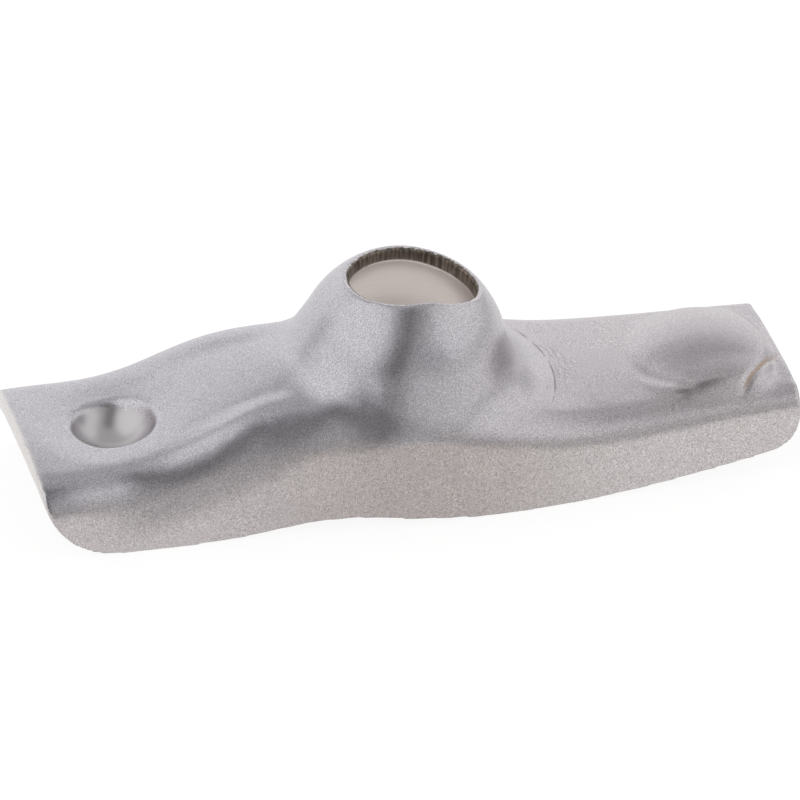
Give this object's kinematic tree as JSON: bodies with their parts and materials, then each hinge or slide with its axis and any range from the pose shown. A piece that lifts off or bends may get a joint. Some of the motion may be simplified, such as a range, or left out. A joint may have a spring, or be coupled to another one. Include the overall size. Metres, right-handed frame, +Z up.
{
  "type": "rocker arm",
  "caption": "Pressed-steel valve rocker arm: an open channel with a slotted ball-pivot dome between a pushrod cup and a rounded valve pad.",
  "frame": {"origin": "on the surface the arm rests on, under the centre of its pivot ball seat, which is also the middle of its length and width", "axes": "+X from the pushrod end to the valve end, +Z up through the pivot dome, Y = 0 the plane of symmetry"},
  "size_m": [0.0688, 0.0222, 0.0189],
  "materials": {
    "pressed_steel": "bare, tumbled satin"
  },
  "bodies": {
    "root": {"rocker_arm": "pressed_steel"}
  },
  "joints": []
}
